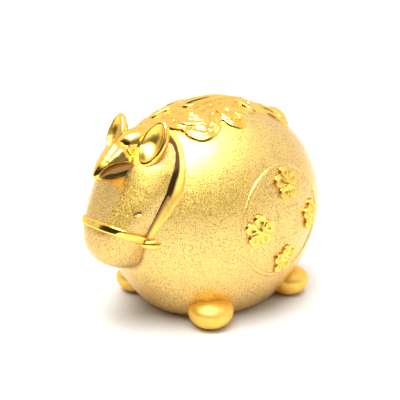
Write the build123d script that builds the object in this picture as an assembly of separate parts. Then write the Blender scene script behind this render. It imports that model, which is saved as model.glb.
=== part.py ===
"""An ox-shaped ceramic coin bank, built piece by piece.  Lengths are in millimetres.

+Z is up, the ox looks along -Y and its own left is +X.  The bank is modelled about the
middle of its round body and moved at the end, so that the origin is on the ground at the
middle of its footprint box.
"""

import os
from math import cos, pi, radians, sin

from build123d import *

# ---------------------------------------------------------------- driving dimensions
U = 60.0  # half height of the round body; the sculpted shapes are all in proportion to it
WALL = 4.0  # thickness of the cast wall
BELLY_HEIGHT = 0.8  # the flat underside stands this far above the ground
STOPPER_RECESS_DEPTH = 3.0  # the stopper's flange lies in a shallow recess in it
COIN_SLOT_WIDTH = 5.0
COIN_SLOT_LENGTH = 38.0
BELLY_HOLE_RADIUS = 13.0
PLUG_CLEARANCE = 0.08

# ---------------------------------------------------------------- body
BODY_HALF = Vector(0.90 * U, 1.085 * U, 0.975 * U)
BODY_CENTRE_HEIGHT = 0.885 * U

# ---------------------------------------------------------------- feet
FOOT_X = 0.515 * U
FOOT_FRONT_Y = -0.53 * U
FOOT_REAR_Y = 0.51 * U
FOOT_RADIUS = 0.19 * U
FOOT_TOP = 0.40 * U
FOOT_SOLE_CUT = 0.10 * FOOT_RADIUS  # how much of the round bottom is ground off flat

# ---------------------------------------------------------------- head
HEAD_BACK_Y = -0.50 * U
# Each level of the head: height, half width, front and corner radius, in units of U.
HEAD_LEVELS = [
    (0.515, 0.13, -1.04, 0.12),
    (0.550, 0.20, -1.15, 0.17),
    (0.630, 0.26, -1.25, 0.22),
    (0.760, 0.315, -1.325, 0.25),
    (0.920, 0.355, -1.325, 0.27),
    (1.080, 0.415, -1.235, 0.29),
    (1.240, 0.450, -1.165, 0.31),
    (1.400, 0.430, -1.065, 0.31),
    (1.520, 0.350, -0.975, 0.27),
    (1.590, 0.260, -0.895, 0.21),
    (1.630, 0.160, -0.830, 0.14),
]

# ---------------------------------------------------------------- bridle
STRAP_THICKNESS = 1.2
NOSEBAND_WIDTH = 0.068 * U
NOSEBAND_MIDDLE = Vector(0, -1.14 * U, 0.895 * U)
NOSEBAND_TILT = -26.0
CHEEK_STRAP_ON_CHEEK = 0.055 * U  # how far the strap reaches up the cheek from the crease
CHEEK_STRAP_ON_BODY = 0.035 * U  # and how far over the body
CHEEK_STRAP_TOP = 1.60 * U
KNOB_RADIUS = 0.058 * U

# ---------------------------------------------------------------- relief
CLOTH_THICKNESS = 0.7
CLOTH_BORDER_THICKNESS = 1.4
CLOTH_BORDER_WIDTH = 0.05 * U
COIN_RELIEF_RADIUS = 0.50 * U
COIN_RELIEF_CENTRE_Y = 0.03 * U
COIN_RELIEF_CENTRE_Z = 0.90 * U
COIN_RING_WIDTH = 2.2
COIN_SQUARE_SIDE = 0.30 * U
RELIEF_THICKNESS = 1.1
BLOSSOM_DISTANCE = 0.335 * U
BLOSSOM_RADIUS = 0.125 * U

# ---------------------------------------------------------------- stopper
STOPPER_FLANGE_RADIUS = 17.0
STOPPER_FLANGE_THICKNESS = 1.8
STOPPER_GAP = 0.3  # between the flange and the flat underside
STOPPER_PLUG_TOP = 13.0
STOPPER_WALL = 2.2

FAR = 4 * U  # longer than anything here


def ellipsoid(half, centre=(0, 0, 0), tilt=(0, 0, 0)):
    """A solid ellipsoid of the given half sizes, tilted about its own centre."""
    return Location(centre, tilt) * scale(Sphere(1.0), by=(half[0], half[1], half[2]))


def above(height):
    """All the space above a level."""
    return Pos(0, 0, height + FAR / 2) * Box(FAR, FAR, FAR)


def body_skin(inset=0.0):
    """The round body's outside, moved in by inset (or out, where inset is negative)."""
    half = (BODY_HALF.X - inset, BODY_HALF.Y - inset, BODY_HALF.Z - inset)
    round_body = ellipsoid(half, (0, 0, BODY_CENTRE_HEIGHT))
    return round_body & above(BELLY_HEIGHT + inset)


def head_skin(inset=0.0):
    """The head's outside as a loft of rounded levels, moved in by inset."""
    low, high = HEAD_LEVELS[0][0] * U, HEAD_LEVELS[-1][0] * U
    squeeze = (high - low - 2 * inset) / (high - low)
    levels = []
    for height, half_width, front, corner in HEAD_LEVELS:
        z = low + inset + (height * U - low) * squeeze
        width = 2 * (half_width * U - inset)
        depth = HEAD_BACK_Y - front * U
        middle = (0, front * U + inset + depth / 2, z)
        radius = min(corner * U - inset, 0.49 * min(width, depth))
        levels.append(Plane(middle) * RectangleRounded(width, depth, radius))
    return loft(levels)


def both_sides(solid):
    """The piece on the ox's left and its mirror image on the right."""
    return {"left": solid, "right": mirror(solid, about=Plane.YZ)}


# ---------------------------------------------------------------- the cast shell and head
body_outside = body_skin()
head_outside = head_skin()
core = body_outside + head_outside


def coin_slot_cutter():
    slot = SlotOverall(COIN_SLOT_LENGTH, COIN_SLOT_WIDTH, rotation=90)
    return Pos(0, 0, BODY_CENTRE_HEIGHT) * extrude(slot, amount=FAR)


def make_body_shell():
    """The hollow body, with its coin slot, its round belly hole and the recess round it."""
    hollow = body_skin(WALL) & above(BELLY_HEIGHT + STOPPER_RECESS_DEPTH + WALL)
    belly_hole = Cylinder(BELLY_HOLE_RADIUS, 8 * WALL)
    recess = Cylinder(STOPPER_FLANGE_RADIUS + 1.0, 2 * STOPPER_RECESS_DEPTH)
    shell = body_outside - hollow - coin_slot_cutter()
    return shell - Pos(0, 0, BELLY_HEIGHT) * (belly_hole + recess)


def make_head():
    return head_outside - head_skin(WALL) - body_outside


def make_foot(y):
    """A stub with round ends, ground flat under the sole and let into the body above."""
    low = FOOT_RADIUS - FOOT_SOLE_CUT
    high = FOOT_TOP - FOOT_RADIUS
    ball = Sphere(FOOT_RADIUS)
    leg = Cylinder(FOOT_RADIUS, high - low, align=(Align.CENTER, Align.CENTER, Align.MIN))
    stub = Pos(0, 0, low) * (ball + leg) + Pos(0, 0, high) * ball
    return (Pos(FOOT_X, y, 0) * stub & above(0)) - body_outside


# ---------------------------------------------------------------- ears and hair
EAR_CENTRE = Vector(0.195 * U, -0.865 * U, 1.59 * U)
EAR_AXIS = Vector(0.36, 0.58, 0.73)
EAR_OPENING = Vector(-0.05, -0.95, 0.30)  # the way the cup of the ear faces
EAR_HALF = (0.115 * U, 0.055 * U, 0.215 * U)
EAR_CUP_DEPTH = 0.045 * U

# Each lock of hair: half sizes, centre, tilt in degrees.
CROWN_LOCK = ((0.15 * U, 0.245 * U, 0.12 * U), (0, -0.81 * U, 1.59 * U), (6, 0, 0))
SIDE_LOCK = ((0.055 * U, 0.11 * U, 0.06 * U), (0.07 * U, -0.985 * U, 1.50 * U), (28, 0, 12))
FORELOCK = ((0.16 * U, 0.205 * U, 0.125 * U), (0, -1.015 * U, 1.365 * U), (28, 0, 0))
EYELID = ((0.015 * U, 0.050 * U, 0.026 * U), (0.350 * U, -1.133 * U, 1.083 * U), (0, 0, -40))


def make_ear():
    """A leaf-shaped ear with a shallow cup, standing out of the side of the crown."""
    axis = EAR_AXIS.normalized()
    across = axis.cross(EAR_OPENING).normalized()
    frame = Plane(EAR_CENTRE, x_dir=across, z_dir=axis)
    leaf = scale(Sphere(1.0), by=EAR_HALF)
    cup_half = (0.74 * EAR_HALF[0], EAR_HALF[1], 0.80 * EAR_HALF[2])
    cup = Pos(0, EAR_HALF[1] * 1.9 - EAR_CUP_DEPTH, 0) * scale(Sphere(1.0), by=cup_half)
    side = 1 if frame.y_dir.dot(EAR_OPENING) > 0 else -1
    cup = cup if side > 0 else mirror(cup, about=Plane.XZ)
    return frame * (leaf - cup) - core


crown_lock = ellipsoid(*CROWN_LOCK) - core
left_side_lock = ellipsoid(*SIDE_LOCK) - core - crown_lock
side_locks = both_sides(left_side_lock)
forelock = ellipsoid(*FORELOCK) - core - side_locks["left"] - side_locks["right"] - crown_lock


# ---------------------------------------------------------------- bridle
def noseband_slab():
    slab = Box(FAR, FAR, NOSEBAND_WIDTH)
    return Location(NOSEBAND_MIDDLE, (NOSEBAND_TILT, 0, 0)) * slab


def behind_noseband():
    """All the space above the noseband's plane."""
    tilt = (NOSEBAND_TILT, 0, 0)
    return Location(NOSEBAND_MIDDLE, tilt) * above(NOSEBAND_WIDTH / 2)


def make_noseband():
    """A strip round the muzzle, as far as the body."""
    return (head_skin(-STRAP_THICKNESS) & noseband_slab()) - core


def make_left_cheek_strap():
    """A strip along the crease between cheek and body, from the noseband to the ear."""
    crease = head_skin(-CHEEK_STRAP_ON_CHEEK) & body_skin(-CHEEK_STRAP_ON_BODY)
    low_enough = Pos(FAR / 2, 0, CHEEK_STRAP_TOP - FAR / 2) * Box(FAR, FAR, FAR)
    return (crease & behind_noseband() & low_enough) - core


def make_left_knob():
    """The rounded end of the noseband, where the cheek strap joins it."""
    return Pos(0.37 * U, -0.985 * U, 0.80 * U) * Sphere(KNOB_RADIUS)


noseband = make_noseband()
left_cheek_strap = make_left_cheek_strap()
left_knob = make_left_knob() - head_outside - body_outside - noseband - left_cheek_strap
left_ear = make_ear() - crown_lock - left_cheek_strap - left_side_lock


# ---------------------------------------------------------------- saddle cloth
CLOTH_HALF_WIDTH = 0.385 * U
CLOTH_LENGTH = 1.26 * U
# The bulges of its edge on the left: x, y and radius in units of U.
CLOTH_LOBES = [(0.31, -0.43, 0.165), (0.41, -0.15, 0.075), (0.30, 0.45, 0.165)]


def cloth_outline():
    """The cloth seen from above: a long rounded field with bulges on its edge."""
    outline = RectangleRounded(2 * CLOTH_HALF_WIDTH, CLOTH_LENGTH, 0.28 * U)
    for x, y, radius in CLOTH_LOBES:
        outline += Pos(x * U, y * U) * Circle(radius * U)
        outline += Pos(-x * U, y * U) * Circle(radius * U)
    return outline


def on_back(sketch, thickness):
    """A layer of even thickness on the body's top, with the sketch as its plan."""
    plan = Pos(0, 0, BODY_CENTRE_HEIGHT) * extrude(sketch, amount=FAR)
    return (body_skin(-thickness) & plan) - core - crown_lock - coin_slot_cutter()


outline = cloth_outline()
inner_outline = offset(outline, -CLOTH_BORDER_WIDTH)
saddle_cloth = on_back(inner_outline, CLOTH_THICKNESS)
saddle_border = on_back(outline - inner_outline, CLOTH_BORDER_THICKNESS)


def cloud_scroll(x, y, turn):
    """A generic curl of three joined lobes."""
    lobes = Circle(0.075 * U)
    for angle in (40, 140, 270):
        lobes += Pos(0.075 * U * cos(radians(angle)), 0.075 * U * sin(radians(angle))) * Circle(0.05 * U)
    return Location((x * U, y * U), (0, 0, turn)) * lobes


def make_saddle_clouds():
    clouds = Sketch()
    for x, y, turn in ((0.22, -0.43, 20), (0.29, -0.13, 80), (0.27, 0.17, 100), (0.21, 0.45, 150)):
        clouds += cloud_scroll(x, y, turn)
    clouds += mirror(clouds, about=Plane.YZ)
    return on_back(clouds, CLOTH_BORDER_THICKNESS) - saddle_cloth - saddle_border


def make_slot_frame():
    outer = SlotOverall(COIN_SLOT_LENGTH + 6, COIN_SLOT_WIDTH + 6, rotation=90)
    inner = SlotOverall(COIN_SLOT_LENGTH, COIN_SLOT_WIDTH, rotation=90)
    return on_back(outer - inner, CLOTH_BORDER_THICKNESS) - saddle_cloth


# ---------------------------------------------------------------- tail
TAIL_CURL = ((0.11 * U, 0.15 * U, 0.13 * U), (0, 0.92 * U, 1.60 * U), (-15, 0, 0))
TAIL_ROOT = ((0.075 * U, 0.12 * U, 0.25 * U), (0, 0.96 * U, 1.38 * U), (18, 0, 0))


def make_tail():
    tail = ellipsoid(*TAIL_CURL) + ellipsoid(*TAIL_ROOT)
    return tail - core - saddle_border - saddle_cloth


# ---------------------------------------------------------------- coin relief on the flanks
def on_flank(sketch, thickness=RELIEF_THICKNESS):
    """A raised figure on the left flank, of even thickness, drawn in side view."""
    centre = (0, COIN_RELIEF_CENTRE_Y, COIN_RELIEF_CENTRE_Z)
    figure = Plane(centre, x_dir=(0, 1, 0), z_dir=(1, 0, 0)) * sketch
    return (body_skin(-thickness) & extrude(figure, amount=FAR)) - body_outside


def coin_ring():
    return Circle(COIN_RELIEF_RADIUS) - Circle(COIN_RELIEF_RADIUS - COIN_RING_WIDTH)


def coin_square():
    side = COIN_SQUARE_SIDE
    return RectangleRounded(side, side, 1.5) - Rectangle(side - 3.2, side - 3.2)


def blossom():
    petals = Circle(0.42 * BLOSSOM_RADIUS)
    for k in range(5):
        angle = 2 * pi * k / 5 + pi / 2
        place = Pos(0.62 * BLOSSOM_RADIUS * cos(angle), 0.62 * BLOSSOM_RADIUS * sin(angle))
        petals += place * Circle(0.40 * BLOSSOM_RADIUS)
    return petals


def blossoms():
    four = Sketch()
    for k in range(4):
        angle = pi / 2 * k
        four += Pos(BLOSSOM_DISTANCE * cos(angle), BLOSSOM_DISTANCE * sin(angle)) * blossom()
    return four


# ---------------------------------------------------------------- belly stopper
def make_stopper():
    """A soft cup-shaped plug with a round flange that lies in the recess."""
    flange_top = BELLY_HEIGHT + STOPPER_RECESS_DEPTH - STOPPER_GAP
    plug_radius = BELLY_HOLE_RADIUS - PLUG_CLEARANCE
    plug_height = STOPPER_PLUG_TOP - flange_top
    up = (Align.CENTER, Align.CENTER, Align.MIN)
    down = (Align.CENTER, Align.CENTER, Align.MAX)
    flange = Cylinder(STOPPER_FLANGE_RADIUS, STOPPER_FLANGE_THICKNESS, align=down)
    plug = Cylinder(plug_radius, plug_height, align=up)
    plug -= Cylinder(plug_radius - STOPPER_WALL, plug_height, align=up)
    return Pos(0, 0, flange_top) * (flange + plug)


# ---------------------------------------------------------------- the pieces, by name
nodes = {
    "body_shell": make_body_shell(),
    "head": make_head(),
    "crown_lock": crown_lock,
    "forelock": forelock,
    "saddle_cloth": saddle_cloth,
    "saddle_border": saddle_border,
    "saddle_clouds": make_saddle_clouds(),
    "coin_slot_frame": make_slot_frame(),
    "tail": make_tail(),
    "belly_stopper": make_stopper(),
}
nodes["noseband"] = noseband
for side, solid in side_locks.items():
    nodes[f"{side}_side_lock"] = solid
for side, solid in both_sides(left_ear).items():
    nodes[f"{side}_ear"] = solid
for side, solid in both_sides(left_cheek_strap).items():
    nodes[f"{side}_cheek_strap"] = solid
for side, solid in both_sides(left_knob).items():
    nodes[f"{side}_bridle_knob"] = solid
for side, solid in both_sides(ellipsoid(*EYELID) - head_outside).items():
    nodes[f"{side}_eyelid"] = solid
for side, solid in both_sides(make_foot(FOOT_FRONT_Y)).items():
    nodes[f"{side}_front_foot"] = solid
for side, solid in both_sides(make_foot(FOOT_REAR_Y)).items():
    nodes[f"{side}_rear_foot"] = solid
for name, sketch in (("coin_ring", coin_ring()), ("coin_square", coin_square()), ("blossoms", blossoms())):
    for side, solid in both_sides(on_flank(sketch)).items():
        nodes[f"{side}_{name}"] = solid

# The origin goes to the middle of the footprint box, on the ground.
boxes = [solid.bounding_box() for solid in nodes.values()]
front = min(box.min.Y for box in boxes)
rear = max(box.max.Y for box in boxes)
to_origin = Pos(0, -(front + rear) / 2, 0)

os.makedirs("parts", exist_ok=True)
for name, solid in nodes.items():
    export_step(to_origin * solid, f"parts/{name}.step")
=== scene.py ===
"""Looks for the ox coin bank.

The shapes are made from distance fields, in millimetres, about the middle of the round
body: +Z is up, the ox looks along -Y and its own left is +X.  Each piece's surface is
meshed from its field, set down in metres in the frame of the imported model, and stands
for the CAD nodes of its name.
"""

import math

import bpy
import numpy as np
from mathutils import Matrix, Vector


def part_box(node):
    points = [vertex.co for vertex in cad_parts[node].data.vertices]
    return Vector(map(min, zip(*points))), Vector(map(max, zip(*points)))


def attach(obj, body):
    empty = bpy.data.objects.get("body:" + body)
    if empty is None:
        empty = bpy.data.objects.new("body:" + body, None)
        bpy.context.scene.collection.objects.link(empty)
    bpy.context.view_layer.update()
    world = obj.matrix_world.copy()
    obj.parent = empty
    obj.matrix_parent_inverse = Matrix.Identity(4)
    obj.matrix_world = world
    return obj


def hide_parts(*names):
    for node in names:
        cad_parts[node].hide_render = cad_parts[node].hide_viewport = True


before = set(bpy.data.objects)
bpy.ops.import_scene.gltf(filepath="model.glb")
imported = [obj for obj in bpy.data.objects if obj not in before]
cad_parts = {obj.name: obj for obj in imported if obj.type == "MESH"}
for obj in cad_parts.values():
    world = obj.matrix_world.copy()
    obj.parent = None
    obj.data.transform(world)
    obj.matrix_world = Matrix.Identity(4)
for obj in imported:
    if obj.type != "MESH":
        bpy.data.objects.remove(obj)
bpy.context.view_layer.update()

# ---------------------------------------------------------------- sizes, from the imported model
shell_low, shell_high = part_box("body_shell")
stopper_low, stopper_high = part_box("belly_stopper")
BODY_HALF_WIDTH = 0.90  # in units of U
U = 1000 * (shell_high.x - shell_low.x) / 2 / BODY_HALF_WIDTH
MIDDLE_Y = 1000 * (stopper_low.y + stopper_high.y) / 2
WALL = 4.0
BELLY_HEIGHT = 0.8
STOPPER_RECESS_DEPTH = 3.0
STOPPER_RECESS_RADIUS = 18.0
COIN_SLOT_HALF_WIDTH = 2.5
COIN_SLOT_HALF_LENGTH = 19.0
BELLY_HOLE_RADIUS = 13.0


def units(*lengths):
    """Lengths given in units of U, in millimetres."""
    return np.array(lengths) * U


BODY_HALF = units(BODY_HALF_WIDTH, 1.085, 0.975)
BODY_CENTRE = units(0, 0, 0.885)
BODY_FULLNESS = 0.21  # how much fuller than an ellipsoid the lowest part is
SETTLED = 0.5  # how far a relief reaches into the surface it sits on


# ---------------------------------------------------------------- distance fields
def smooth_min(a, b, k):
    h = np.clip(0.5 + 0.5 * (b - a) / k, 0, 1)
    return b * (1 - h) + a * h - k * h * (1 - h)


def smooth_max(a, b, k):
    return -smooth_min(-a, -b, k)


def smooth_step(low, high, value):
    t = np.clip((value - low) / (high - low), 0, 1)
    return t * t * (3 - 2 * t)


def turned(tilt):
    """The rotation for tilts in degrees about X, then Y, then Z."""
    radians = [math.radians(angle) for angle in tilt]
    turn = Matrix.Rotation(radians[0], 3, "X") @ Matrix.Rotation(radians[1], 3, "Y")
    turn = turn @ Matrix.Rotation(radians[2], 3, "Z")
    return np.array(turn)


def local(points, centre, axes):
    """The points' coordinates along three axes (the columns of a matrix) from a centre."""
    return (points - np.asarray(centre)) @ axes


def ellipsoid(points, half, centre=(0, 0, 0), axes=None):
    q = local(points, centre, np.eye(3) if axes is None else axes)
    half = np.asarray(half)
    k0 = np.linalg.norm(q / half, axis=1)
    k1 = np.linalg.norm(q / half**2, axis=1)
    return k0 * (k0 - 1) / np.maximum(k1, 1e-9)


def body(points):
    """The round body, a little fuller than an ellipsoid low down, with a flat underside."""
    q = (points - BODY_CENTRE) / BODY_HALF
    low = np.maximum(-q[:, 2], 0)
    fuller = 1 - BODY_FULLNESS * smooth_step(0.15, 1.0, low)
    q[:, 2] *= np.sqrt(fuller)
    k0 = np.linalg.norm(q, axis=1)
    k1 = np.linalg.norm(q / BODY_HALF, axis=1)
    round_body = k0 * (k0 - 1) / np.maximum(k1, 1e-9)
    return smooth_max(round_body, BELLY_HEIGHT - points[:, 2], 3.0)


# Each level of the head: height, half width, front and corner radius, in units of U.
HEAD_BACK_Y = -0.50 * U
HEAD_LEVELS = np.array(
    [
        (0.500, 0.13, -1.08, 0.13),
        (0.550, 0.17, -1.17, 0.17),
        (0.630, 0.22, -1.27, 0.21),
        (0.760, 0.275, -1.345, 0.26),
        (0.920, 0.340, -1.325, 0.29),
        (1.080, 0.410, -1.225, 0.31),
        (1.240, 0.450, -1.135, 0.33),
        (1.400, 0.430, -1.050, 0.32),
        (1.520, 0.360, -0.975, 0.28),
        (1.590, 0.275, -0.895, 0.22),
        (1.660, 0.185, -0.830, 0.16),
    ]
)
HEAD_LOW = 0.515 * U
HEAD_HIGH = 1.635 * U


def softened(column):
    """A column of the head's levels as a smooth curve: heights and values in millimetres."""
    heights = np.linspace(HEAD_LEVELS[0, 0] - 0.2, HEAD_LEVELS[-1, 0] + 0.2, 600)
    values = np.interp(heights, HEAD_LEVELS[:, 0], HEAD_LEVELS[:, column])
    bell = np.exp(-(np.linspace(-2.5, 2.5, 61) ** 2) / 2)
    padded = np.pad(values, 30, mode="edge")
    values = np.convolve(padded, bell / bell.sum(), mode="valid")
    return heights * U, values * U


HALF_WIDTHS, FRONTS, CORNERS = softened(1), softened(2), softened(3)


def head_section(points):
    """Distance within its own level from the head's rounded outline."""
    z = points[:, 2]
    half_width = np.interp(z, *HALF_WIDTHS)
    front = np.interp(z, *FRONTS)
    corner = np.minimum(np.interp(z, *CORNERS), half_width)
    half_depth = (HEAD_BACK_Y - front) / 2
    across = np.abs(points[:, 0]) - half_width + corner
    along = np.abs(points[:, 1] - HEAD_BACK_Y + half_depth) - half_depth + corner
    outside = np.hypot(np.maximum(across, 0), np.maximum(along, 0))
    return outside + np.minimum(np.maximum(across, along), 0) - corner


def head(points):
    """The head without its eyes; the body's part of it isn't taken away."""
    lift = np.array((0, 0, 0.25))
    here = head_section(points)
    slope = (head_section(points + lift) - head_section(points - lift)) / 0.5
    side = here / np.sqrt(1 + slope**2)
    field = smooth_max(side, HEAD_LOW - points[:, 2], 10.0)
    return smooth_max(field, points[:, 2] - HEAD_HIGH, 5.0)


def core(points):
    return np.minimum(body(points), head(points))


def mirrored(field):
    """The same field for the piece on the ox's right."""
    return lambda points: field(points * np.array((-1, 1, 1)))


# ---------------------------------------------------------------- noise for cast surfaces
def hashed(cells, seed):
    """A steady random number from -1 to 1 for each whole-numbered place."""
    x, y, z = (cells[:, k].astype(np.int64) for k in range(3))
    mixed = (x * 73856093) ^ (y * 19349663) ^ (z * 83492791) ^ (seed * 2654435761)
    mixed = (mixed ^ (mixed >> 13)) * 1274126177
    return ((mixed ^ (mixed >> 16)) & 0xFFFF) / 32767.5 - 1


def value_noise(points, size, seed):
    """Smooth random heights from -1 to 1, with lumps of the given size."""
    scaled = points / size
    base = np.floor(scaled)
    t = scaled - base
    t = t * t * (3 - 2 * t)
    total = np.zeros(len(points))
    for corner in np.ndindex(2, 2, 2):
        corner = np.array(corner)
        weight = np.prod(np.where(corner, t, 1 - t), axis=1)
        total += weight * hashed(base + corner, seed)
    return total


# ---------------------------------------------------------------- meshing
def sampled(field, axes):
    """The field at every point of a grid, worked out in slabs."""
    slabs = []
    for x in np.array_split(axes[0], max(1, len(axes[0]) // 12)):
        grid = np.stack(np.meshgrid(x, axes[1], axes[2], indexing="ij"), axis=-1)
        slabs.append(field(grid.reshape(-1, 3)).reshape(grid.shape[:3]))
    values = np.concatenate(slabs)
    for axis in range(3):
        for end in (0, -1):
            face = [slice(None)] * 3
            face[axis] = end
            values[tuple(face)] = np.maximum(values[tuple(face)], 0.01)
    return values


def along(axis, k, size=3):
    step = np.zeros(size, dtype=np.int64)
    step[axis] = k
    return step


def surface_net(values):
    """Vertices, in grid steps, and quads of the surface where the values change sign."""
    cells = np.array(values.shape) - 1
    total = np.zeros((cells.prod(), 3))
    count = np.zeros(cells.prod())
    crossings = []
    for axis in range(3):
        near = np.take(values, range(0, values.shape[axis] - 1), axis)
        far = np.take(values, range(1, values.shape[axis]), axis)
        places = np.argwhere((near < 0) != (far < 0))
        start, end = near[tuple(places.T)], far[tuple(places.T)]
        points = places.astype(float)
        points[:, axis] += start / (start - end)
        u, v = (axis + 1) % 3, (axis + 2) % 3
        ring = []
        for du, dv in ((0, 0), (-1, 0), (-1, -1), (0, -1)):
            cell = places + along(u, du) + along(v, dv)
            index = np.ravel_multi_index(cell.T, cells)
            ring.append(index)
            count += np.bincount(index, minlength=len(count))
            for k in range(3):
                total[:, k] += np.bincount(index, points[:, k], len(count))
        ring = np.stack(ring, axis=1)
        ring[start >= 0] = ring[start >= 0][:, ::-1]
        crossings.append(ring)
    used = np.flatnonzero(count)
    renumbered = np.full(len(count), -1)
    renumbered[used] = np.arange(len(used))
    return total[used] / count[used, None], renumbered[np.concatenate(crossings)]


def slope_of(field, points, step=0.02):
    parts = [field(points + along(k, 1) * step) - field(points - along(k, 1) * step) for k in range(3)]
    return np.stack(parts, axis=1) / (2 * step)


def settled(field, points, reach, rounds=4):
    """The points moved onto the surface, by no more than reach in a round."""
    for _ in range(rounds):
        slope = slope_of(field, points)
        steep = np.maximum((slope**2).sum(axis=1), 1e-6)
        step = -(field(points) / steep)[:, None] * slope
        length = np.maximum(np.linalg.norm(step, axis=1), 1e-9)
        points = points + step * np.minimum(1, reach / length)[:, None]
    return points


def make_piece(
    name, field, low, high, cell, material, slot, nodes, lumps=None, shade=None, satin=None, on="bank"
):
    """Meshes a field inside a box and puts the piece in the CAD nodes' place.

    lumps gives how far each point stands out of the smooth surface. shade gives how far
    painted shade darkens its colour, and satin how soft its shine is, from 0 to 1."""
    axes = [np.arange(low[k] - 2 * cell, high[k] + 2.5 * cell, cell) for k in range(3)]
    points, quads = surface_net(sampled(field, axes))
    points = points * cell + [axis[0] for axis in axes]
    points = settled(field, points, 0.5 * cell)
    if lumps is not None:
        normal = slope_of(field, points)
        normal /= np.maximum(np.linalg.norm(normal, axis=1), 1e-9)[:, None]
        points = points + normal * lumps(points)[:, None]
    mesh = bpy.data.meshes.new(name)
    placed = (points + [0, MIDDLE_Y, 0]) / 1000
    mesh.from_pydata(placed.tolist(), [], quads.tolist())
    mesh.shade_smooth()
    # The dark attribute is a painted shade mask; satin softens the shine.
    for look, amount in (("dark", shade), ("satin", satin)):
        values = mesh.attributes.new(look, "FLOAT", "POINT")
        values.data.foreach_set("value", np.zeros(len(points)) if amount is None else amount(points))
    piece = bpy.data.objects.new(name, mesh)
    bpy.context.scene.collection.objects.link(piece)
    mesh.materials.append(material)
    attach(piece, on)
    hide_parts(*nodes)
    return piece


# ---------------------------------------------------------------- materials
def new_material(name, base, metallic, edge_tint):
    material = bpy.data.materials.new(name)
    material.use_nodes = True
    nodes, links = material.node_tree.nodes, material.node_tree.links
    shader = nodes["Principled BSDF"]
    shader.inputs["Base Color"].default_value = (*base, 1)
    shader.inputs["Metallic"].default_value = metallic
    shader.inputs["Specular Tint"].default_value = (*edge_tint, 1)
    return material, nodes, links, shader


COAT_IOR = 1.7


def lacquered(shader, weight, roughness):
    """A clear coat, whose reflection is white instead of gold."""
    shader.inputs["Coat Weight"].default_value = weight
    shader.inputs["Coat IOR"].default_value = COAT_IOR
    shader.inputs["Coat Roughness"].default_value = roughness


def noise_node(nodes, links, size, detail=2.0, roughness=0.5):
    """Noise with lumps of about the given size, in metres, fixed to the object."""
    place = nodes.new("ShaderNodeTexCoord")
    noise = nodes.new("ShaderNodeTexNoise")
    noise.inputs["Scale"].default_value = 1 / size
    noise.inputs["Detail"].default_value = detail
    noise.inputs["Roughness"].default_value = roughness
    links.new(place.outputs["Object"], noise.inputs["Vector"])
    return noise.outputs["Fac"]


def spread(nodes, links, value, low, high, to_low, to_high, curve="LINEAR"):
    """The value's range low..high stretched to to_low..to_high."""
    stretch = nodes.new("ShaderNodeMapRange")
    stretch.interpolation_type = curve
    for name, number in zip(("From Min", "From Max", "To Min", "To Max"), (low, high, to_low, to_high)):
        stretch.inputs[name].default_value = number
    links.new(value, stretch.inputs["Value"])
    return stretch.outputs["Result"]


def combined(nodes, links, operation, first, second):
    node = nodes.new("ShaderNodeMath")
    node.operation = operation
    for socket, value in ((node.inputs[0], first), (node.inputs[1], second)):
        if isinstance(value, (int, float)):
            socket.default_value = value
        else:
            links.new(value, socket)
    return node.outputs["Value"]


def mixed_colour(nodes, links, factor, first, second):
    mix = nodes.new("ShaderNodeMix")
    mix.data_type = "RGBA"
    links.new(factor, mix.inputs["Factor"])
    for socket, colour in ((mix.inputs[6], first), (mix.inputs[7], second)):
        if isinstance(colour, tuple):
            socket.default_value = (*colour, 1)
        else:
            links.new(colour, socket)
    return mix.outputs[2]


def darkened(nodes, links, colour, deep):
    """The colour, going over to a deep one where the piece's dark attribute paints shade."""
    dark = nodes.new("ShaderNodeAttribute")
    dark.attribute_name = "dark"
    return mixed_colour(nodes, links, dark.outputs["Fac"], colour, deep)


def bump_node(nodes, links, height, distance, strength=1.0, under=None):
    bump = nodes.new("ShaderNodeBump")
    bump.inputs["Strength"].default_value = strength
    bump.inputs["Distance"].default_value = distance
    links.new(height, bump.inputs["Height"])
    if under is not None:
        links.new(under, bump.inputs["Normal"])
    return bump.outputs["Normal"]


SAND_LIGHT = (1.0, 0.69, 0.16)
SAND_DEEP = (0.38, 0.185, 0.02)
SAND_WARM = (1.0, 0.62, 0.12)
# The deep colour that painted shade goes over to on the gold.
PAINTED_SHADE_COLOUR = (0.17, 0.075, 0.008)
BRIGHT = (1.0, 0.68, 0.12)
BRIGHT_WARM = (1.0, 0.60, 0.08)
EDGE_TINT = (1.0, 0.70, 0.34)
RUBBER_PALE = (0.80, 0.79, 0.76)
RUBBER_DUSTY = (0.66, 0.64, 0.60)
# The deep colour that painted shade goes over to on the rubber.
RUBBER_PAINTED_SHADE_COLOUR = (0.12, 0.10, 0.07)


def make_sand_gold():
    material, nodes, links, shader = new_material("sand_gold", SAND_LIGHT, 1.0, EDGE_TINT)
    coarse = noise_node(nodes, links, 0.0005, 2.0, 0.6)
    fine = noise_node(nodes, links, 0.0004, 1.0)
    pits = noise_node(nodes, links, 0.0005, 1.0)
    broad = noise_node(nodes, links, 0.014, 3.0)
    grains = spread(nodes, links, pits, 0.38, 0.50, 1.0, 0.0)
    colour = mixed_colour(nodes, links, grains, SAND_LIGHT, SAND_DEEP)
    worn = spread(nodes, links, broad, 0.4, 0.7, 0.0, 0.25)
    colour = mixed_colour(nodes, links, worn, colour, SAND_WARM)
    # Painted shade: deep where the piece's dark attribute says.
    links.new(darkened(nodes, links, colour, PAINTED_SHADE_COLOUR), shader.inputs["Base Color"])
    links.new(spread(nodes, links, coarse, 0.3, 0.7, 0.38, 0.25), shader.inputs["Roughness"])
    lacquered(shader, 1.0, 0.25)
    rough = bump_node(nodes, links, coarse, 0.0003)
    links.new(bump_node(nodes, links, fine, 0.0001, under=rough), shader.inputs["Normal"])
    return material


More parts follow.
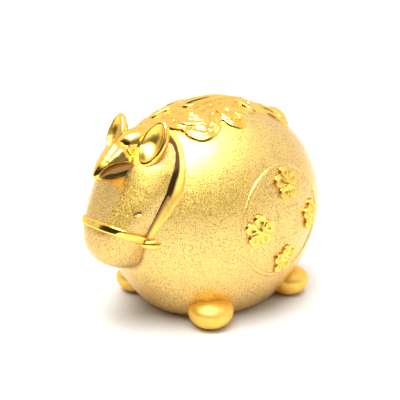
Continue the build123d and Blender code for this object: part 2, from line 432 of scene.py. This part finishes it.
def make_bright_gold():
    material, nodes, links, shader = new_material("bright_gold", BRIGHT, 1.0, EDGE_TINT)
    broad = noise_node(nodes, links, 0.006, 2.0)
    specks = noise_node(nodes, links, 0.0012, 2.0)
    warm = spread(nodes, links, broad, 0.35, 0.65, 0.0, 1.0)
    colour = mixed_colour(nodes, links, warm, BRIGHT, BRIGHT_WARM)
    # Painted shade: deep where the piece's dark attribute says.
    links.new(darkened(nodes, links, colour, PAINTED_SHADE_COLOUR), shader.inputs["Base Color"])
    satin = nodes.new("ShaderNodeAttribute")
    satin.attribute_name = "satin"
    polish = spread(nodes, links, specks, 0.35, 0.7, 0.07, 0.16)
    softness = spread(nodes, links, satin.outputs["Fac"], 0.0, 1.0, 0.0, 0.5)
    shine = combined(nodes, links, "MAXIMUM", polish, softness)
    links.new(bump_node(nodes, links, broad, 0.0005), shader.inputs["Normal"])
    lacquered(shader, 0.5, 0.05)
    links.new(shine, shader.inputs["Roughness"])
    links.new(shine, shader.inputs["Coat Roughness"])
    return material


def make_rubber():
    material, nodes, links, shader = new_material("stopper_rubber", RUBBER_PALE, 0.0, (1, 1, 1))
    broad = noise_node(nodes, links, 0.004, 3.0)
    grain = noise_node(nodes, links, 0.0004, 1.0)
    dust = spread(nodes, links, broad, 0.4, 0.65, 0.0, 1.0)
    colour = mixed_colour(nodes, links, dust, RUBBER_PALE, RUBBER_DUSTY)
    # Painted shade: deep where the piece's dark attribute says.
    links.new(darkened(nodes, links, colour, RUBBER_PAINTED_SHADE_COLOUR), shader.inputs["Base Color"])
    links.new(spread(nodes, links, broad, 0.3, 0.7, 0.45, 0.6), shader.inputs["Roughness"])
    links.new(bump_node(nodes, links, grain, 0.00008), shader.inputs["Normal"])
    return material


sand_gold = make_sand_gold()
bright_gold = make_bright_gold()
rubber = make_rubber()


def sandy(name, field, low, high, cell, nodes, **more):
    return make_piece(name, field, low, high, cell, sand_gold, "sand_gold", nodes, **more)


def glossy(name, field, low, high, cell, nodes, **more):
    return make_piece(name, field, low, high, cell, bright_gold, "bright_gold", nodes, **more)


def on_both_sides(make, name, field, low, high, cell, shade=None, satin=None):
    """A piece on the ox's left and its mirror image on the right.  The box is the left one's."""
    low, high = np.array(low, float), np.array(high, float)
    make(f"left_{name}_cast", field, low, high, cell, [f"left_{name}"], shade=shade, satin=satin)
    far_low = np.array((-high[0], low[1], low[2]))
    far_high = np.array((-low[0], high[1], high[2]))
    looks = {"shade": shade, "satin": satin}
    far_looks = {look: mirrored(amount) for look, amount in looks.items() if amount is not None}
    make(f"right_{name}_cast", mirrored(field), far_low, far_high, cell, [f"right_{name}"], **far_looks)


def cast_lumps(points):
    return 0.05 * value_noise(points, 1.7, 3) + 0.05 * value_noise(points, 4.1, 4)


# ---------------------------------------------------------------- body shell
def slot_plan(points):
    """Distance from the coin slot's outline, seen from above."""
    along_slot = np.maximum(np.abs(points[:, 1]) - (COIN_SLOT_HALF_LENGTH - COIN_SLOT_HALF_WIDTH), 0)
    return np.hypot(points[:, 0], along_slot) - COIN_SLOT_HALF_WIDTH


def above_middle(points):
    return BODY_CENTRE[2] - points[:, 2]


def body_shell(points):
    outside = body(points)
    floor_inside = BELLY_HEIGHT + STOPPER_RECESS_DEPTH + WALL - points[:, 2]
    hollow = smooth_max(outside + WALL, floor_inside, 2.0)
    slot = np.maximum(slot_plan(points), above_middle(points))
    radius = np.hypot(points[:, 0], points[:, 1])
    hole = np.maximum(radius - BELLY_HOLE_RADIUS, points[:, 2] - BODY_CENTRE[2])
    recess_top = BELLY_HEIGHT + STOPPER_RECESS_DEPTH
    recess = np.maximum(radius - STOPPER_RECESS_RADIUS, points[:, 2] - recess_top)
    opened = np.minimum(np.minimum(hollow, slot), np.minimum(hole, recess))
    return smooth_max(outside, -opened, 0.6)


def body_shade(points):
    """Dark inside the shell and where the head meets it."""
    # Painted shade: inside the shell, and in the crease where the head meets the body.
    inside = smooth_step(-1.5, -3.0, body(points))
    crease = 0.6 * smooth_step(1.6, 0.0, np.abs(head(points)))
    return np.maximum(inside, crease)


BODY_LOW = BODY_CENTRE - BODY_HALF
BODY_LOW[2] = BELLY_HEIGHT
sandy(
    "body_shell_cast", body_shell, BODY_LOW, BODY_CENTRE + BODY_HALF, 1.0, ["body_shell"],
    lumps=cast_lumps, shade=body_shade,
)

# ---------------------------------------------------------------- head and eyes
EYE = units(0.349, -1.135, 1.098)
EYE_AXES = turned((0, 0, -40))  # across the cheek is its second axis
EYE_HALF_LENGTH = 0.030 * U
EYE_HALF_HEIGHT = 0.5


def eye_slit(points):
    """A thin capsule, curved down at its ends like a closed eye."""
    q = local(points, EYE, EYE_AXES)
    rise = q[:, 2] + 0.06 * q[:, 1] ** 2 - 0.25 * q[:, 1]
    beyond = np.maximum(np.abs(q[:, 1]) - EYE_HALF_LENGTH + 0.5, 0)
    return np.sqrt((0.35 * q[:, 0]) ** 2 + beyond**2 + rise**2) - EYE_HALF_HEIGHT


def head_cast(points):
    skull = smooth_max(head(points), -eye_slit(points), 0.35)
    return np.maximum(skull, -(body(points) + SETTLED))


def head_shade(points):
    """Painted shade in the eye slit and at the neck, and a little over the face, standing in for its
    darker reflection.
    """
    slit = smooth_step(0.75, 0.15, eye_slit(points))
    crease = 0.5 * smooth_step(1.6, 0.2, np.abs(body(points)))
    face = 0.13 * smooth_step(1.50 * U, 1.25 * U, points[:, 2])
    return np.maximum(np.maximum(slit, crease), face)


HEAD_BOX_LOW = units(-0.47, -1.34, 0.50)
HEAD_BOX_HIGH = units(0.47, -0.50, 1.65)
sandy(
    "head_cast", head_cast, HEAD_BOX_LOW, HEAD_BOX_HIGH, 0.42, ["head"],
    lumps=cast_lumps, shade=head_shade,
)

LID_CENTRE = units(0.341, -1.120, 1.081)
LID_HALF = units(0.007, 0.032, 0.016)
LID_BOX = (17, -73, 60), (25, -62, 68)


def eyelid(points):
    """The lower lid, a thin roll under the slit."""
    lid = ellipsoid(points, LID_HALF, LID_CENTRE, EYE_AXES)
    lid = smooth_max(lid, -(eye_slit(points) - 0.05), 0.3)
    return np.maximum(lid, -(head(points) + SETTLED))


on_both_sides(sandy, "eyelid", eyelid, *LID_BOX, 0.2)

# ---------------------------------------------------------------- hair
def leaf_axes(root, tip, outward):
    """Columns: across, outward and along for a leaf from its root to its tip."""
    lengthwise = (tip - root) / np.linalg.norm(tip - root)
    across = np.cross(lengthwise, outward)
    across /= np.linalg.norm(across)
    return np.stack([across, np.cross(across, lengthwise), lengthwise], axis=1)


FORELOCK_TIP = units(0, -1.290, 1.350)
FORELOCK_HEART = units(0, -1.045, 1.43)
FORELOCK_RADIUS = 0.165 * U
TAPER_SCALE = 0.85  # keeps a tapered field's slope near 1
FORELOCK_AXES = leaf_axes(FORELOCK_HEART, FORELOCK_TIP, np.array((0, -0.3, 1.0)))
SCOOP_CENTRE = units(0.190, -1.185, 1.372)
SCOOP_HALF = units(0.130, 0.100, 0.200)
SCOOP_AXES = leaf_axes(np.zeros(3), np.array((-0.42, -0.87, -0.26)), np.array((0.2, -0.3, 1.0)))


def forelock_scoop(points):
    folded = np.stack([np.abs(points[:, 0]), points[:, 1], points[:, 2]], axis=1)
    return ellipsoid(folded, SCOOP_HALF, SCOOP_CENTRE, SCOOP_AXES)


def forelock(points):
    """A tuft drawn out to a forward point, with a hollow scooped in each flank."""
    q = local(points, FORELOCK_HEART, FORELOCK_AXES)
    length = np.linalg.norm(FORELOCK_TIP - FORELOCK_HEART)
    to_tip = np.clip((length - q[:, 2]) / length, 0.0, 1.0)
    radius = FORELOCK_RADIUS * to_tip**0.62
    behind = np.minimum(q[:, 2], 0)
    around = np.hypot(q[:, 0], q[:, 1])
    angle = np.arctan2(q[:, 0], q[:, 1])
    strands = 0.3 * np.cos(9 * angle + 0.12 * q[:, 2]) * smooth_step(1.3, 0.8, np.abs(angle))
    tuft = (np.hypot(around, behind) - radius - strands * to_tip) * TAPER_SCALE
    tuft = smooth_max(tuft, q[:, 2] - length, 0.6)
    tuft = smooth_max(tuft, -forelock_scoop(points), 0.4)
    return np.maximum(tuft, -(head(points) + SETTLED))


def forelock_shade(points):
    """Painted shade and reflection, dark in the scoops."""
    return 0.92 * smooth_step(0.7, 0.1, forelock_scoop(points))


glossy(
    "forelock_cast", forelock, units(-0.22, -1.33, 1.18), units(0.22, -0.80, 1.66), 0.3,
    ["forelock"], shade=forelock_shade,
)


CROWN_CENTRE = units(0, -0.80, 1.585)
CROWN_HALF = units(0.135, 0.225, 0.12)
CROWN_AXES = turned((6, 0, 0))


def crown_lock(points):
    """A low dome of hair between the ears, parted in front."""
    dome = ellipsoid(points, CROWN_HALF, CROWN_CENTRE, CROWN_AXES)
    q = local(points, CROWN_CENTRE, CROWN_AXES)
    parted = 0.3 * np.cos(q[:, 0] * 1.15 + 0.02 * q[:, 1] ** 2) * smooth_step(-8, -13, q[:, 1])
    return np.maximum(dome + parted, -(core(points) + SETTLED))


glossy(
    "crown_lock_cast", crown_lock, units(-0.17, -1.07, 1.45), units(0.17, -0.55, 1.73), 0.4,
    ["crown_lock"],
)

SIDE_LOCK_CENTRE = units(0.07, -0.985, 1.50)
SIDE_LOCK_HALF = units(0.062, 0.12, 0.065)
SIDE_LOCK_AXES = turned((28, 0, 12))


def side_lock(points):
    lock = ellipsoid(points, SIDE_LOCK_HALF, SIDE_LOCK_CENTRE, SIDE_LOCK_AXES)
    q = local(points, SIDE_LOCK_CENTRE, SIDE_LOCK_AXES)
    strands = 0.35 * np.cos(q[:, 0] * 2.6 + q[:, 2] * 1.3)
    return np.maximum(lock + strands, -(head(points) + SETTLED))


on_both_sides(
    glossy, "side_lock", side_lock, units(0.0, -1.12, 1.39), units(0.15, -0.85, 1.60), 0.3
)

# ---------------------------------------------------------------- ears
EAR_CENTRE = units(0.250, -0.885, 1.597)
EAR_AXIS = np.array((0.18, 0.44, 0.86))
EAR_OPENING = np.array((0.05, -1.0, 0.02))
EAR_AXES = leaf_axes(EAR_CENTRE, EAR_CENTRE + EAR_AXIS / np.linalg.norm(EAR_AXIS), EAR_OPENING)
EAR_HALF = units(0.125, 0.080, 0.200)
EAR_CUP_HALF = units(0.102, 0.075, 0.170)
EAR_CUP_CENTRE = (0, 0.050 * U, 0)


def ear(points):
    """A pointed leaf, round behind, with a cup in front that stops short of the head."""
    q = local(points, EAR_CENTRE, EAR_AXES)
    t = np.clip(q[:, 2] / EAR_HALF[2], -1, 1)
    taper = 1 / (1 - 0.16 * smooth_step(0.1, 1.0, t) - 0.12 * smooth_step(-0.2, -1.0, t))
    q[:, 0] *= taper
    leaf = ellipsoid(q, EAR_HALF)
    leaf = smooth_max(leaf, q[:, 1] - 0.025 * U, 1.2)
    cupped = smooth_max(leaf, -ellipsoid(q, EAR_CUP_HALF, EAR_CUP_CENTRE), 0.7)
    above_core = core(points)
    cup_floor = smooth_max(leaf, above_core - 0.9, 0.7)
    cupped = smooth_min(cupped, cup_floor, 1.2) * TAPER_SCALE
    return np.maximum(cupped, -(above_core + SETTLED))


# Painted shade on the ear, darker where it meets the head.
def ear_shade(points):
    return 0.35 * smooth_step(1.0, 0.0, core(points))


def ear_satin(points):
    """Soft inside the cup."""
    cup = ellipsoid(local(points, EAR_CENTRE, EAR_AXES), EAR_CUP_HALF, EAR_CUP_CENTRE)
    return 0.6 * smooth_step(0.6, 0.1, cup)


on_both_sides(
    glossy, "ear", ear, units(0.0, -1.08, 1.36), units(0.42, -0.64, 1.85), 0.35,
    shade=ear_shade, satin=ear_satin,
)

# ---------------------------------------------------------------- bridle
NOSEBAND_HALF_WIDTH = 0.036 * U
NOSEBAND_THICKNESS = 1.15
NOSEBAND_MIDDLE = units(0, -1.14, 0.895)
NOSEBAND_AXES = turned((-26, 0, 0))


def over_noseband(points):
    return local(points, NOSEBAND_MIDDLE, NOSEBAND_AXES)[:, 2]


def noseband(points):
    outside = head(points) - NOSEBAND_THICKNESS
    strap = smooth_max(outside, np.abs(over_noseband(points)) - NOSEBAND_HALF_WIDTH, 1.3)
    return np.maximum(strap, np.maximum(-(head(points) + SETTLED), -(body(points) + SETTLED)))


glossy(
    "noseband_cast", noseband, units(-0.45, -1.38, 0.60), units(0.45, -0.7, 1.10), 0.35,
    ["noseband"],
)


def ridge_reach(points):
    """How far the ridge stands from the cheek: less high up, where cheek and body part slowly."""
    return 0.95 - 0.5 * smooth_step(0.95 * U, 1.35 * U, points[:, 2])


def cheek_strap(points):
    """A ridge in the crease between cheek and body, and a thin broad band beside it."""
    to_head, to_body = head(points), body(points)
    ridge = smooth_max(to_head - ridge_reach(points), to_body - 2.0, 0.8)
    reach = 1.4 + 2.4 * np.exp(-(((points[:, 2] / U - 1.2) / 0.30) ** 2))
    band = smooth_max(to_body - 0.7, to_head - reach, 1.4)
    strap = smooth_min(ridge, band, 0.9)
    ends = np.maximum(-over_noseband(points) - NOSEBAND_HALF_WIDTH, points[:, 2] - 1.70 * U)
    strap = smooth_max(strap, ends, 1.0)
    strap = np.maximum(strap, -points[:, 0] + 0.05 * U)
    return np.maximum(strap, -(core(points) + SETTLED))


def strap_shade(points):
    """Painted shade and reflection, dark where the ridge dips to the cheek."""
    return smooth_step(1.4, 0.5, head(points)) * smooth_step(0.0, 0.6, body(points))


def strap_satin(points):
    """Soft on the broad band, bright on the ridge."""
    return smooth_step(0.0, 0.5, head(points) - ridge_reach(points))


on_both_sides(
    glossy, "cheek_strap", cheek_strap, units(0.05, -1.10, 0.72), units(0.62, -0.40, 1.73),
    0.4, shade=strap_shade, satin=strap_satin,
)


KNOB_CENTRE = units(0.350, -1.003, 0.818)
KNOB_HALF = units(0.042, 0.040, 0.095)
KNOB_AXES = leaf_axes(np.zeros(3), np.array((0.58, 0.80, -0.12)), np.array((0.7, -0.6, 0.3)))


def bridle_knob(points):
    """The strap's end, where the noseband and the cheek strap meet."""
    knob = ellipsoid(points, KNOB_HALF, KNOB_CENTRE, KNOB_AXES)
    return np.maximum(knob, -(core(points) + SETTLED))


on_both_sides(
    glossy, "bridle_knob", bridle_knob, units(0.24, -1.12, 0.70), units(0.50, -0.85, 0.90), 0.3
)

# ---------------------------------------------------------------- saddle cloth
CLOTH_HALF_WIDTH = 0.385 * U
CLOTH_HALF_LENGTH = 0.63 * U
CLOTH_CORNER = 0.28 * U
# Each lobe of the cloth's edge: across, lengthwise and radius, in units of U.
CLOTH_LOBES = [(0.31, -0.43, 0.165), (0.42, -0.16, 0.105), (0.30, 0.45, 0.165)]
BORDER_WIDTH = 0.055 * U
# Each cloud: across and lengthwise in units of U, and its turn in degrees.
CLOUDS = [(0.22, -0.43, 20), (0.33, -0.15, 80), (0.27, 0.17, 100), (0.21, 0.45, 150)]
CLOUD_RADIUS = 0.125 * U


def cloth_plan(points):
    """Distance from the cloth's scalloped outline, seen from above."""
    across = np.abs(points[:, 0]) - CLOTH_HALF_WIDTH + CLOTH_CORNER
    lengthwise = np.abs(points[:, 1]) - CLOTH_HALF_LENGTH + CLOTH_CORNER
    plan = np.hypot(np.maximum(across, 0), np.maximum(lengthwise, 0))
    plan = plan + np.minimum(np.maximum(across, lengthwise), 0) - CLOTH_CORNER
    folded = np.abs(points[:, 0])
    for x, y, radius in CLOTH_LOBES:
        lobe = np.hypot(folded - x * U, points[:, 1] - y * U) - radius * U
        plan = smooth_min(plan, lobe, 1.5)
    return plan


def cloud_plan(points):
    """Distance from the nearest cloud's outline, and that cloud's own turned coordinates."""
    folded = np.stack([np.abs(points[:, 0]), points[:, 1]], axis=1)
    nearest = np.full(len(points), 1e6)
    swirl = np.zeros(len(points))
    for x, y, turn in CLOUDS:
        q = folded - units(x, y)
        radius = np.hypot(q[:, 0], q[:, 1])
        angle = np.arctan2(q[:, 1], q[:, 0]) - math.radians(turn)
        scallop = CLOUD_RADIUS * (0.90 + 0.14 * np.cos(3 * angle))
        distance = radius - scallop
        curl = np.cos(angle - 5.2 * radius / CLOUD_RADIUS)
        swirl = np.where(distance < nearest, curl, swirl)
        nearest = np.minimum(nearest, distance)
    return nearest, swirl


def layer(points, thickness, plan, edge=0.8):
    """A layer on the body's top, as thick as it says, inside a plan."""
    skin = body(points) - thickness
    field = smooth_max(skin, plan, edge)
    field = np.maximum(field, -(body(points) + SETTLED))
    return np.maximum(field, above_middle(points))


def clear_of_slot(field, points):
    return smooth_max(field, -slot_plan(points), 0.4)


def saddle_cloth(points):
    plan = cloth_plan(points) + BORDER_WIDTH * 0.8
    folds = 0.28 * np.cos(plan * 1.15) * smooth_step(0, -3, plan)
    ripple = 0.35 * value_noise(points, 2.2, 9)
    return clear_of_slot(layer(points, 0.55 + folds + ripple, plan), points)


def saddle_border(points):
    """A double roll along the edge, with small knots where its bulges meet."""
    plan = cloth_plan(points)
    middle = (plan + BORDER_WIDTH / 2) / (BORDER_WIDTH / 2)
    roll = 1.1 - 0.45 * np.exp(-((middle / 0.35) ** 2)) + 0.15 * np.cos(points[:, 1] * 0.9)
    return layer(points, roll, np.abs(plan + BORDER_WIDTH / 2) - BORDER_WIDTH / 2, 1.1)


def saddle_clouds(points):
    plan, swirl = cloud_plan(points)
    return clear_of_slot(layer(points, 1.15 + 0.42 * swirl, plan, 1.0), points)


SLOT_FRAME_HALF_WIDTH = 1.5


def slot_frame(points):
    plan = np.abs(slot_plan(points) - SLOT_FRAME_HALF_WIDTH) - SLOT_FRAME_HALF_WIDTH
    return layer(points, 1.3, plan, 1.0)


def relief_shade(points):
    """Painted shade, a little darker low down in the relief."""
    return 0.15 * smooth_step(0.8, 0.2, body(points))


SADDLE_LOW = units(-0.56, -0.68, 1.55)
SADDLE_HIGH = units(0.56, 0.68, 1.90)
for node, field, cell, shade in (
    ("saddle_cloth", saddle_cloth, 0.45, relief_shade),
    ("saddle_border", saddle_border, 0.4, relief_shade),
    ("saddle_clouds", saddle_clouds, 0.4, relief_shade),
    ("coin_slot_frame", slot_frame, 0.4, None),
):
    glossy(f"{node}_cast", field, SADDLE_LOW, SADDLE_HIGH, cell, [node], shade=shade)


# ---------------------------------------------------------------- tail
CURL_CENTRE = units(0, 0.835, 1.545)
CURL_HALF = units(0.105, 0.195, 0.130)
CURL_AXES = turned((-38, 0, 0))
TAIL_ROOT_CENTRE = units(0, 0.97, 1.34)
TAIL_ROOT_HALF = units(0.075, 0.10, 0.24)
TAIL_ROOT_AXES = turned((22, 0, 0))


def tail(points):
    """A short curl lying close against the rump."""
    curl = ellipsoid(points, CURL_HALF, CURL_CENTRE, CURL_AXES)
    root = ellipsoid(points, TAIL_ROOT_HALF, TAIL_ROOT_CENTRE, TAIL_ROOT_AXES)
    q = local(points, CURL_CENTRE, CURL_AXES)
    angle = np.arctan2(q[:, 2], q[:, 1])
    radius = np.hypot(q[:, 1], q[:, 2])
    twist = 0.3 * np.cos(2 * angle - radius * 0.9) * smooth_step(1.0, 3.0, radius)
    strands = 0.2 * np.cos(points[:, 0] * 2.2)
    return np.maximum(smooth_min(curl + twist, root + strands, 4.0), -(body(points) + SETTLED))


glossy("tail_cast", tail, units(-0.14, 0.58, 1.05), units(0.14, 1.15, 1.80), 0.4, ["tail"])

# ---------------------------------------------------------------- coin relief on the flanks
COIN_CENTRE = units(0, 0.03, 0.90)
COIN_RADIUS = 0.50 * U
COIN_RING_HALF_WIDTH = 1.6
SQUARE_HALF_WIDTH = 1.2
SQUARE_CORNER = 1.5
SQUARE_HALF = 0.15 * U
BLOSSOM_DISTANCE = 0.335 * U
BLOSSOM_RADIUS = 0.135 * U


def on_flank(points, thickness, plan, edge=0.9):
    """A raised figure on the left flank, drawn in side view."""
    field = smooth_max(body(points) - thickness, plan, edge)
    return np.maximum(field, np.maximum(-(body(points) + SETTLED), 10.0 - points[:, 0]))


def coin_ring(points):
    radius = np.hypot(points[:, 1] - COIN_CENTRE[1], points[:, 2] - COIN_CENTRE[2])
    plan = np.abs(radius - COIN_RADIUS + COIN_RING_HALF_WIDTH) - COIN_RING_HALF_WIDTH
    return on_flank(points, 0.55, plan, 1.5)


def coin_square(points):
    across = np.abs(points[:, 1] - COIN_CENTRE[1]) - SQUARE_HALF + SQUARE_CORNER
    upward = np.abs(points[:, 2] - COIN_CENTRE[2]) - SQUARE_HALF + SQUARE_CORNER
    square = np.hypot(np.maximum(across, 0), np.maximum(upward, 0))
    square = square + np.minimum(np.maximum(across, upward), 0) - SQUARE_CORNER
    return on_flank(points, 0.42, np.abs(square + SQUARE_HALF_WIDTH) - SQUARE_HALF_WIDTH, 1.3)


def blossoms(points):
    """Four five-petalled blossoms, each petal dished, round a raised middle."""
    field = np.full(len(points), 1e3)
    for k in range(4):
        angle = math.pi / 2 * k
        y = points[:, 1] - COIN_CENTRE[1] - BLOSSOM_DISTANCE * math.cos(angle)
        z = points[:, 2] - COIN_CENTRE[2] - BLOSSOM_DISTANCE * math.sin(angle)
        radius, around = np.hypot(y, z), np.arctan2(z, y)
        petal = np.abs(np.cos(2.5 * (around - math.pi / 2)))
        plan = radius - BLOSSOM_RADIUS * (0.62 + 0.40 * petal**0.7)
        heart = 0.9 * np.exp(-((radius / 1.5) ** 2))
        dish = 0.75 * np.exp(-(((radius - 0.60 * BLOSSOM_RADIUS) / 1.9) ** 2)) * petal**2
        parting = 0.8 * (1 - petal) ** 3 * smooth_step(1.0, 2.5, radius)
        thickness = 1.55 + heart - dish - parting
        field = np.minimum(field, on_flank(points, thickness, plan, 0.8))
    return field


def flank_box(half):
    low = np.array((0.5 * U, COIN_CENTRE[1] - half, COIN_CENTRE[2] - half))
    high = np.array((0.935 * U, COIN_CENTRE[1] + half, COIN_CENTRE[2] + half))
    return low, high


# Painted shade at the blossoms' foot, where they meet the body.
def blossom_shade(points):
    return 0.5 * smooth_step(1.3, 0.5, body(points))


on_both_sides(sandy, "coin_ring", coin_ring, *flank_box(COIN_RADIUS + 1), 0.5)
on_both_sides(sandy, "coin_square", coin_square, *flank_box(SQUARE_HALF + 1), 0.5)
on_both_sides(
    glossy, "blossoms", blossoms, *flank_box(BLOSSOM_DISTANCE + BLOSSOM_RADIUS + 1), 0.35,
    shade=blossom_shade,
)

# ---------------------------------------------------------------- feet
FOOT_X = 0.515 * U
FOOT_RADIUS = 0.197 * U
FOOT_TOP = 0.40 * U
FOOT_WIDEST = 0.74 * FOOT_RADIUS  # the height of its widest level
FOOT_BELOW = 0.79 * FOOT_RADIUS  # half-heights of the ellipsoids below and above that level
FOOT_ABOVE = 0.62 * FOOT_RADIUS


def make_foot_field(y):
    """A stub, round underneath, whose top goes into the body."""
    widest = np.array((FOOT_X, y, FOOT_WIDEST))
    below = np.array((FOOT_RADIUS, FOOT_RADIUS, FOOT_BELOW))
    above = np.array((FOOT_RADIUS, FOOT_RADIUS, FOOT_ABOVE))

    def foot(points):
        lower, upper = ellipsoid(points, below, widest), ellipsoid(points, above, widest)
        stub = np.where(points[:, 2] > widest[2], upper, lower)
        stub = smooth_max(stub, -points[:, 2], 1.5)
        return np.maximum(stub, -(body(points) + SETTLED))

    return foot


def foot_satin(points):
    """Soft all over but for the sole."""
    return smooth_step(0.0, 2.0, points[:, 2])


for place, y in (("front", -0.51 * U), ("rear", 0.51 * U)):
    reach = FOOT_RADIUS + 1
    on_both_sides(
        glossy, f"{place}_foot", make_foot_field(y),
        (FOOT_X - reach, y - reach, 0), (FOOT_X + reach, y + reach, FOOT_TOP), 0.45, satin=foot_satin,
    )


# ---------------------------------------------------------------- belly stopper
FLANGE_RADIUS = 17.0
FLANGE_TOP = BELLY_HEIGHT + STOPPER_RECESS_DEPTH - 0.3
FLANGE_BOTTOM = FLANGE_TOP - 1.8
PLUG_RADIUS = 12.92
PLUG_INNER_RADIUS = 10.7
PLUG_TOP = 13.0
GROOVE_RADIUS = 14.6
DIMPLE_RADIUS = 7.8


def stopper(points):
    """A cup-shaped plug with a softened flange, a moulded groove and a finger dimple."""
    radius, z = np.hypot(points[:, 0], points[:, 1]), points[:, 2]
    flange = smooth_max(radius - FLANGE_RADIUS, np.maximum(z - FLANGE_TOP, FLANGE_BOTTOM - z), 0.5)
    cup = smooth_max(radius - PLUG_RADIUS, np.maximum(z - PLUG_TOP, FLANGE_TOP - 1 - z), 0.8)
    cup = smooth_max(cup, -np.maximum(radius - PLUG_INNER_RADIUS, FLANGE_TOP - z), 0.5)
    groove = smooth_max(np.abs(radius - GROOVE_RADIUS) - 0.5, z - FLANGE_BOTTOM - 0.45, 0.3)
    dimple = np.sqrt(radius**2 + (z - FLANGE_BOTTOM + 7.0) ** 2) - DIMPLE_RADIUS
    return smooth_max(smooth_max(smooth_min(flange, cup, 0.6), -groove, 0.3), -dimple, 0.8)


make_piece(
    "belly_stopper_cast", stopper, (-17.5, -17.5, 1.5), (17.5, 17.5, 13.5), 0.5,
    rubber, "stopper_rubber", ["belly_stopper"], on="stopper",
)

# ---------------------------------------------------------------- camera
def direction(azimuth, elevation):
    """Where azimuth 0 is the ox's front and 90 its left, in degrees."""
    azimuth, elevation = math.radians(azimuth), math.radians(elevation)
    level = math.cos(elevation)
    return Vector((math.sin(azimuth) * level, -math.cos(azimuth) * level, math.sin(elevation)))


METRES = 0.001
AZIMUTH, ELEVATION = 47.1, 16.4
SENSOR = 36.0
FOCAL_LENGTH = 1.6125  # this and the two shifts of the aim are in picture widths
AIM_LEFT = 0.030675
AIM_UP = 0.008725
away = direction(AZIMUTH, ELEVATION)
right = Vector((math.cos(math.radians(AZIMUTH)), math.sin(math.radians(AZIMUTH)), 0))
upward = away.cross(right)
distance = 6 * U * METRES
middle = Vector((0, MIDDLE_Y, 0.877 * U)) * METRES
aim = middle + (upward * AIM_UP - right * AIM_LEFT) * (distance / FOCAL_LENGTH)
camera_data = bpy.data.cameras.new("camera")
camera_data.sensor_width = SENSOR
camera_data.lens = FOCAL_LENGTH * SENSOR
camera_data.clip_start = 0.01
camera_data.clip_end = 50
camera = bpy.data.objects.new("camera", camera_data)
camera.location = aim + away * distance
camera.rotation_mode = "QUATERNION"
camera.rotation_quaternion = (-away).to_track_quat("-Z", "Y")
bpy.context.scene.collection.objects.link(camera)
bpy.context.scene.camera = camera


# ---------------------------------------------------------------- floor and studio light
FLOOR_HALF_SIDE = 8.0
PAPER_DEEP = (0.70, 0.69, 0.675)
PAPER_PALE = (0.72, 0.71, 0.695)


def make_floor():
    mesh = bpy.data.meshes.new("floor")
    side = FLOOR_HALF_SIDE
    corners = [(-side, -side, 0), (side, -side, 0), (side, side, 0), (-side, side, 0)]
    mesh.from_pydata(corners, [], [(0, 1, 2, 3)])
    material = bpy.data.materials.new("floor_paper")
    material.use_nodes = True
    nodes, links = material.node_tree.nodes, material.node_tree.links
    shader = nodes["Principled BSDF"]
    shader.inputs["Roughness"].default_value = 0.7
    shader.inputs["Specular IOR Level"].default_value = 0.2
    paper = noise_node(nodes, links, 0.02, 3.0)
    tone = spread(nodes, links, paper, 0.3, 0.7, 0.0, 1.0)
    colour = mixed_colour(nodes, links, tone, PAPER_DEEP, PAPER_PALE)
    links.new(colour, shader.inputs["Base Color"])
    mesh.materials.append(material)
    floor = bpy.data.objects.new("floor", mesh)
    bpy.context.scene.collection.objects.link(floor)


def toward(nodes, links, place, goal):
    """How far the world's direction leans towards the goal, from -1 to 1."""
    lean = nodes.new("ShaderNodeVectorMath")
    lean.operation = "DOT_PRODUCT"
    links.new(place, lean.inputs[0])
    lean.inputs[1].default_value = goal
    return lean.outputs["Value"]


def blended(nodes, links, factor, first, second):
    """first where the factor is 0 and second where it is 1."""
    mix = nodes.new("ShaderNodeMix")
    links.new(factor, mix.inputs["Factor"])
    links.new(first, mix.inputs[2])
    mix.inputs[3].default_value = second
    return mix.outputs[0]


def smooth_band(nodes, links, value, low, high, to_low, to_high):
    return spread(nodes, links, value, low, high, to_low, to_high, "SMOOTHSTEP")


BACK_LIGHT = 1.1
FRONT_LIGHT = 0.23
TOP_LIGHT = 1.0
OPENING_LIGHT = 0.04
SOFTBOX_LIGHT = 10.5
OPENING_TINT = (1.0, 0.78, 0.40)
DIM_SIDE = direction(32, 0)
OPENING = direction(-6, 4)
SOFTBOX = direction(20, 74)


def make_studio():
    """A white tent, dimmer in front, with a dark warm opening there and a softbox above.

    The camera sees plain white behind the ox, not the tent."""
    world = bpy.data.worlds.new("studio")
    world.use_nodes = True
    bpy.context.scene.world = world
    nodes, links = world.node_tree.nodes, world.node_tree.links
    background = nodes["Background"]
    place = nodes.new("ShaderNodeTexCoord").outputs["Generated"]
    forward = toward(nodes, links, place, DIM_SIDE)
    tent = smooth_band(nodes, links, forward, -0.3, 0.6, BACK_LIGHT, FRONT_LIGHT)
    to_opening = toward(nodes, links, place, OPENING)
    in_opening = smooth_band(nodes, links, to_opening, 0.66, 0.90, 0.0, 1.0)
    sides = blended(nodes, links, in_opening, tent, OPENING_LIGHT)
    height = toward(nodes, links, place, Vector((0, 0, 1)))
    overhead = smooth_band(nodes, links, height, 0.50, 0.82, 0.0, 1.0)
    walls = blended(nodes, links, overhead, sides, TOP_LIGHT)
    to_softbox = toward(nodes, links, place, SOFTBOX)
    softbox = smooth_band(nodes, links, to_softbox, 0.90, 0.96, 0.0, SOFTBOX_LIGHT)
    light = combined(nodes, links, "ADD", walls, softbox)
    seen = nodes.new("ShaderNodeLightPath").outputs["Is Camera Ray"]
    strength = blended(nodes, links, seen, light, 1.0)
    links.new(strength, background.inputs["Strength"])
    unseen_opening = combined(nodes, links, "SUBTRACT", in_opening, seen)
    tint = mixed_colour(nodes, links, unseen_opening, (1.0, 1.0, 1.0), OPENING_TINT)
    links.new(tint, background.inputs["Color"])


make_floor()
make_studio()
bpy.context.scene.view_settings.view_transform = "Standard"
